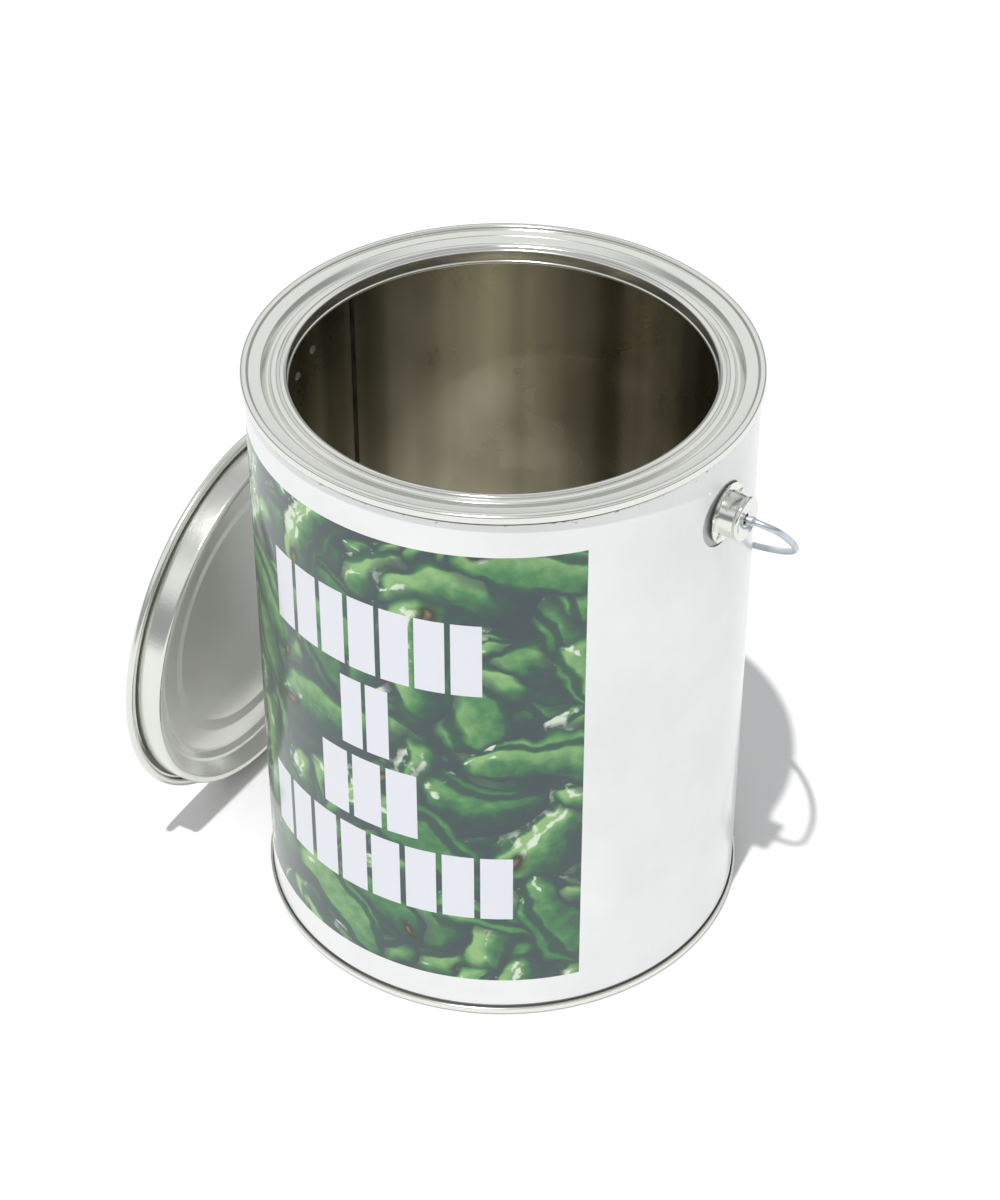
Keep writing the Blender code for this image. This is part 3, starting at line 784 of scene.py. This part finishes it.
class OBJECT_OT_can_wall(Operator):
    """Make the rolled body and its side weld"""

    bl_idname = "object.can_wall"
    bl_label = "Body"

    def execute(self, context):
        flange = SEAM_RADIUS - SHEET - 0.0004
        middle = BODY_RADIUS - SHEET / 2
        inset = SHEET + 0.0003 + SHEET / 2
        path = [
            (flange, RIM_Z - inset),
            (middle, RIM_Z - inset, 0.0004),
            (middle, BASE_Z + inset, 0.0004),
            (flange, BASE_Z + inset),
        ]
        wall = turned("rolled_wall", sheet_outline(path), material("wall tin"))
        # Outside, the sheet shows only in the label's windows, dulled by glue.
        wall.data.materials.append(material("glued tin"))
        for face in wall.data.polygons:
            if face.center.xy.dot(face.normal.xy) > 0:
                face.material_index = 1
        settle(wall, "can", "body_tinplate", "can_body")

        # The lap's inner edge: 2 mm wide and 0.2 mm proud, with its sides eased.
        inside = BODY_RADIUS - SHEET
        low, high = BASE_Z + 0.010, RIM_Z - 0.0072
        section = [(0.0, -0.0010), (0.00016, -0.0008), (0.0002, 0.0), (0.00016, 0.0008), (0.0, 0.0010)]
        points = [(inside + 0.00015, -0.0010)] + [(inside - h, w) for h, w in section]
        points.append((inside + 0.00015, 0.0010))
        bm = bmesh.new()
        rings = [[bm.verts.new((r, w, z)) for r, w in points] for z in (low, high)]
        count = len(points)
        for i in range(count):
            j = (i + 1) % count
            bm.faces.new((rings[0][i], rings[0][j], rings[1][j], rings[1][i]))
        bm.faces.new(rings[0][::-1])
        bm.faces.new(rings[1])
        weld = link_object("side_weld", bm)
        weld.data.materials.append(material("weld"))
        finish_mesh(weld, Matrix.Rotation(WELD_ANGLE, 4, "Z"))
        settle(weld, "can", "body_tinplate")
        return {"FINISHED"}


class OBJECT_OT_can_label(Operator):
    """Make the printed label, with its windows for the ears"""

    bl_idname = "object.can_label"
    bl_label = "Label"

    def execute(self, context):
        rows = 32
        heights = [LABEL_LOW + (LABEL_HIGH - LABEL_LOW) * i / rows for i in range(rows + 1)]
        outline = [(LABEL_RADIUS, z) for z in heights]
        outline += [(LABEL_RADIUS - LABEL_SHEET, z) for z in heights[::-1]]
        label = turned("wrap_label", outline, material("label"), steps=256)
        bm = bmesh.new()
        # The windows are cut wide towards the front, and show a crescent of the wall there.
        radius = EAR_FLANGE_RADIUS + 0.0012
        middle = Matrix.Translation((0, -0.0022, PIVOT_Z + 0.0007))
        bmesh.ops.create_cone(
            bm, cap_ends=True, segments=96, radius1=radius, radius2=radius, depth=0.3,
            matrix=middle @ Matrix.Rotation(math.pi / 2, 4, "Y"),
        )
        cutter = link_object("ear_windows", bm)
        cut = label.modifiers.new("Windows", "BOOLEAN")
        cut.operation = "DIFFERENCE"
        cut.object = cutter
        label.data = evaluated_mesh(label)
        label.modifiers.clear()
        bpy.data.objects.remove(cutter, do_unlink=True)
        finish_mesh(label)
        settle(label, "can", "label_paper", "label")
        return {"FINISHED"}


@cache
def nib_tree():
    """Geometry nodes that set low round nibs on a circle, each squashed to a dome."""
    tree, given = new_group(
        "Weld nibs", "GeometryNodeTree",
        {"Geometry": "Geometry", "Count": "Int", "Circle radius": "Float", "Nib radius": "Float",
         "Height share": "Float", "Material": "Material"},
        {"Geometry": "Geometry"},
    )
    circle = add(
        tree, "GeometryNodeCurvePrimitiveCircle",
        {"Resolution": given["Count"], "Radius": given["Circle radius"]}, mode="RADIUS",
    )
    points = add(tree, "GeometryNodeCurveToPoints", {"Curve": circle}, mode="EVALUATED")
    ball = add(
        tree, "GeometryNodeMeshUVSphere", {"Segments": 20, "Rings": 12, "Radius": given["Nib radius"]}
    )
    squash = add(tree, "CombineXYZ", {"X": 1.0, "Y": 1.0, "Z": given["Height share"]})
    spread = add(
        tree, "GeometryNodeInstanceOnPoints", {"Points": points, "Instance": ball, "Scale": squash}
    )
    real = add(tree, "GeometryNodeRealizeInstances", {"Geometry": spread})
    painted = add(tree, "GeometryNodeSetMaterial", {"Geometry": real, "Material": given["Material"]})
    add(tree, "NodeGroupOutput", {"Geometry": painted})
    return tree


def welds(name, height_share, finish):
    """Five spot welds round a circle, flat on z = 0."""
    obj = link_object(name, bpy.data.meshes.new(name))
    obj.data = run_tree(obj, nib_tree(), {
        "Count": 5, "Circle radius": sizes().nib_circle, "Nib radius": sizes().nib_radius,
        "Height share": height_share, "Material": finish,
    })
    return obj


class OBJECT_OT_can_ears(Operator):
    """Make the two pressed ears, their spot welds and the dimples that these leave inside the can"""

    bl_idname = "object.can_ears"
    bl_label = "Ears"

    def execute(self, context):
        thick = 0.0004
        half = thick / 2
        face = EAR_FACE - EAR_BACK - half
        path = [
            (EAR_FLANGE_RADIUS, half),
            (0.00735, half, 0.0005),
            (0.00715, 0.0030, 0.004),
            (0.00690, face - 0.0016, 0.0012),
            (0.00725, face - 0.0003, 0.0004),
            (0.00670, face, 0.0004),
            (0.00560, face - 0.00015, 0.0008),
            (0.00250, face - 0.00015, 0.0005),
            (0.00200, face - 0.0007),
        ]
        outline = sheet_outline(path, thick)
        for side, word in ((1, "right"), (-1, "left")):
            outward = Matrix.Rotation(side * math.pi / 2, 4, "Y")
            place = Matrix.Translation((side * EAR_BACK, 0, PIVOT_Z)) @ outward
            ear = turned(f"pressed_ear_{word}", outline, material("ear tin"), place, 96)
            settle(ear, "can", "ear_steel", f"ear_{word}")
            # One nib of the five stands at the top.
            first = Matrix.Rotation(math.radians(18 + 18 * side), 4, "Z")
            nibs = welds(f"ear_welds_{word}", 0.42, material("ear tin"))
            finish_mesh(nibs, place @ Matrix.Translation((0, 0, thick)) @ first)
            settle(nibs, "can", "ear_steel")

            # Each weld also shows inside the can, as a low dimple on its round wall.
            inside = BODY_RADIUS - SHEET
            dimples = welds(f"wall_dimples_{word}", 0.16, material("glued tin"))
            dimples.data.transform(first)
            for vertex in dimples.data.vertices:
                vertex.co.z += inside - math.sqrt(inside**2 - vertex.co.y**2)
            inward = Matrix.Rotation(-side * math.pi / 2, 4, "Y")
            finish_mesh(dimples, Matrix.Translation((side * inside, 0, PIVOT_Z)) @ inward)
            settle(dimples, "can", "body_tinplate")
        return {"FINISHED"}


class OBJECT_OT_can_bail(Operator):
    """Make the wire bail"""

    bl_idname = "object.can_bail"
    bl_label = "Bail"

    def execute(self, context):
        stub = EAR_FACE - 0.0005 - 0.0012 - HEAD_DEPTH / 2
        bend = 0.0070
        width = math.sqrt(1 - (bend / BAIL_DEPTH) ** 2) * BAIL_HALF_WIDTH
        corner = arc((width - bend, -bend), bend, 90, 0, 12)
        start = math.asin(bend / BAIL_DEPTH)
        spans = 96
        turns = [start + (math.pi - 2 * start) * i / spans for i in range(1, spans)]
        loop = [(BAIL_HALF_WIDTH * math.cos(a), -BAIL_DEPTH * math.sin(a)) for a in turns]
        straight = [(stub + (corner[0][0] - stub) * i / 14, 0.0) for i in range(14)]
        half = straight + corner
        path = half + loop + [(-x, z) for x, z in half[::-1]]
        curve = bpy.data.curves.new("wire", "CURVE")
        curve.dimensions = "3D"
        curve.bevel_depth = WIRE_RADIUS
        curve.bevel_resolution = 6
        curve.use_fill_caps = True
        spline = curve.splines.new("POLY")
        spline.points.add(len(path) - 1)
        for point, (x, z) in zip(spline.points, path):
            point.co = (x, 0.0, z, 1.0)
        wire = link_object("wire", curve)
        mesh = evaluated_mesh(wire)
        bpy.data.objects.remove(wire, do_unlink=True)
        # Pinched flat just outside each ear, so that the wire can't slide in.
        pinch = EAR_FACE + 0.0016
        for vertex in mesh.vertices:
            near = math.exp(-(((abs(vertex.co.x) - pinch) / 0.0009) ** 2))
            if vertex.co.z > -2 * WIRE_RADIUS:
                vertex.co.y *= 1 + 0.38 * near
                vertex.co.z *= 1 - 0.30 * near
        bm = bmesh.new()
        bm.from_mesh(mesh)
        # The upset head that holds each end in its ear.
        for side in (1, -1):
            inward = Matrix.Rotation(-side * math.pi / 2, 4, "Y")
            bmesh.ops.create_cone(
                bm, cap_ends=True, segments=32, radius1=0.0026, radius2=0.0022, depth=HEAD_DEPTH,
                matrix=Matrix.Translation((side * stub, 0, 0)) @ inward,
            )
        bail = link_object("wire_bail", bm)
        bail.data.materials.append(material("zinc"))
        place = Matrix.Translation((0, 0, PIVOT_Z)) @ Matrix.Rotation(BAIL_HANG, 4, "X")
        finish_mesh(bail, place, 40.0)
        settle(bail, "bail", "bail_wire", "bail")
        return {"FINISHED"}


class OBJECT_OT_can_lid(Operator):
    """Make the friction lid, stood on its edge"""

    bl_idname = "object.can_lid"
    bl_label = "Lid"

    def execute(self, context):
        curl_radius, depth = sizes().curl_radius, sizes().plug_depth
        curl = LID_RADIUS - SHEET / 2 - curl_radius
        plug = PLUG_RADIUS - SHEET / 2
        lip = plug - 0.0002
        slope = lip - 0.0026
        step = slope - 0.0042
        ring = step - 0.0045
        panel = ring - 0.0070
        path = arc((curl, 0.0), curl_radius, 150, -90, 20)
        path += [
            (curl - 0.0006, -curl_radius, 0.0003),
            (curl - 0.0012, -curl_radius + 0.0006, 0.0003),
            (plug + 0.0009, -curl_radius + 0.0005, 0.0004),
            (plug + 0.0001, -curl_radius + 0.0014, 0.0006),
            (lip, depth, 0.0012),
            (slope, depth, 0.0011),
            (step + 0.0006, 0.0062, 0.0005),
            (step, 0.0056, 0.0004),
            (step - 0.0014, 0.0056, 0.0004),
            (ring + 0.0012, 0.0043, 0.0009),
            (ring, 0.0041, 0.0009),
            (panel, 0.0040, 0.0022),
            (panel - 0.0040, 0.0034, 0.0022),
            (0.0, 0.0034),
        ]
        curl_outside = curl_radius + SHEET / 2
        rise = LID_RADIUS - curl_outside + curl_outside / math.cos(LID_LEAN)
        place = (
            Matrix.Translation(LID_FOOT)
            @ Matrix.Rotation(LID_TURN, 4, "Z")
            @ Matrix.Rotation(LID_LEAN, 4, "Y")
            @ Matrix.Translation((0, 0, rise))
            @ Matrix.Rotation(math.pi / 2, 4, "Y")
        )
        lid = turned("friction_lid", sheet_outline(path), material("lid tin"), place)
        settle(lid, "lid", "end_tinplate", "lid")
        return {"FINISHED"}


class OBJECT_OT_can_seam_compound(Operator):
    """Give the hidden seam compound its finish"""

    bl_idname = "object.can_seam_compound"
    bl_label = "Seam compound"

    def execute(self, context):
        for name in ("top_seam_compound", "bottom_seam_compound"):
            node = frame["nodes"][name]
            node.data.materials.clear()
            node.data.materials.append(material("compound"))
        return {"FINISHED"}


class OBJECT_OT_can_stage(Operator):
    """Make the pale floor, the studio light and the camera"""

    bl_idname = "object.can_stage"
    bl_label = "Stage"

    def execute(self, context):
        bm = bmesh.new()
        bmesh.ops.create_grid(bm, x_segments=1, y_segments=1, size=6.0)
        floor = link_object("floor", bm)
        floor.location.z = BASE_Z
        paper, tree = new_material("White sweep")
        finish_material(
            tree, {"Base Color": linear("#E7E7E7"), "Roughness": 0.9, "Specular IOR Level": 0.1}
        )
        floor.data.materials.append(paper)

        # A white tent: bright overhead and dimmer towards the floor, with darker gaps in its walls.
        world = bpy.data.worlds.new("Studio")
        world.use_nodes = True
        tree = world.node_tree
        tree.nodes.clear()
        way = add(tree, "TexCoord").outputs["Generated"]
        parts = add(tree, "SeparateXYZ", {"Vector": way})
        level = add(
            tree, "ValToRGB", {"Fac": parts.outputs["Z"]},
            stops=[
                (0.0, (0.52, 0.53, 0.54, 1)), (0.12, (0.27, 0.28, 0.29, 1)), (0.36, (0.27, 0.28, 0.29, 1)),
                (0.54, (0.88, 0.89, 0.90, 1)), (0.72, (0.90, 0.90, 0.90, 1)), (0.86, (0.44, 0.44, 0.45, 1)),
            ],
        )
        back = add(tree, "Background", {"Color": level, "Strength": 1.0})
        add(tree, "OutputWorld", {"Surface": back})
        context.scene.world = world

        lamp = bpy.data.lights.new("key", "SUN")
        lamp.energy = 2.5
        lamp.angle = math.radians(1.1)
        key = link_object("key", lamp)
        key.rotation_euler = SUN_TRAVEL.to_track_quat("-Z", "Y").to_euler()

        camera = bpy.data.cameras.new("camera")
        camera.sensor_width = 36.0
        camera.lens = CAMERA_LENS
        camera.clip_end = 20.0
        eye = link_object("camera", camera)
        eye.location = (
            CAMERA_DISTANCE * math.sin(CAMERA_AZIMUTH),
            -CAMERA_DISTANCE * math.cos(CAMERA_AZIMUTH),
            CAMERA_HEIGHT + BASE_Z,
        )
        eye.rotation_euler = (math.pi / 2 - CAMERA_TILT, 0.0, CAMERA_AZIMUTH + math.radians(0.075))
        context.scene.camera = eye
        context.scene.view_settings.view_transform = "Standard"
        return {"FINISHED"}


class VIEW3D_PT_paint_can(Panel):
    """Lists the can's pieces and its sizes"""

    bl_idname = "VIEW3D_PT_paint_can"
    bl_label = "Paint can"
    bl_space_type = "VIEW_3D"
    bl_region_type = "UI"
    bl_category = "Paint can"

    def draw(self, context):
        for group in (context.scene.can_sizes, context.scene.can_colours):
            for name in group.bl_rna.properties.keys():
                if name not in ("rna_type", "name"):
                    self.layout.prop(group, name)
        for operator in OPERATORS:
            self.layout.operator(operator.bl_idname)


OPERATORS = (
    OBJECT_OT_can_stage,
    OBJECT_OT_can_ends,
    OBJECT_OT_can_wall,
    OBJECT_OT_can_label,
    OBJECT_OT_can_ears,
    OBJECT_OT_can_bail,
    OBJECT_OT_can_lid,
    OBJECT_OT_can_seam_compound,
)
CLASSES = (CanSizes, CanColours, *OPERATORS, VIEW3D_PT_paint_can)


def register():
    for cls in CLASSES:
        bpy.utils.register_class(cls)
    bpy.types.Scene.can_sizes = PointerProperty(type=CanSizes)
    bpy.types.Scene.can_colours = PointerProperty(type=CanColours)


def unregister():
    del bpy.types.Scene.can_sizes
    del bpy.types.Scene.can_colours
    for cls in reversed(CLASSES):
        bpy.utils.unregister_class(cls)


def main():
    register()
    for operator in OPERATORS:
        group, name = operator.bl_idname.split(".")
        getattr(getattr(bpy.ops, group), name)()


if __name__ == "__main__":
    main()
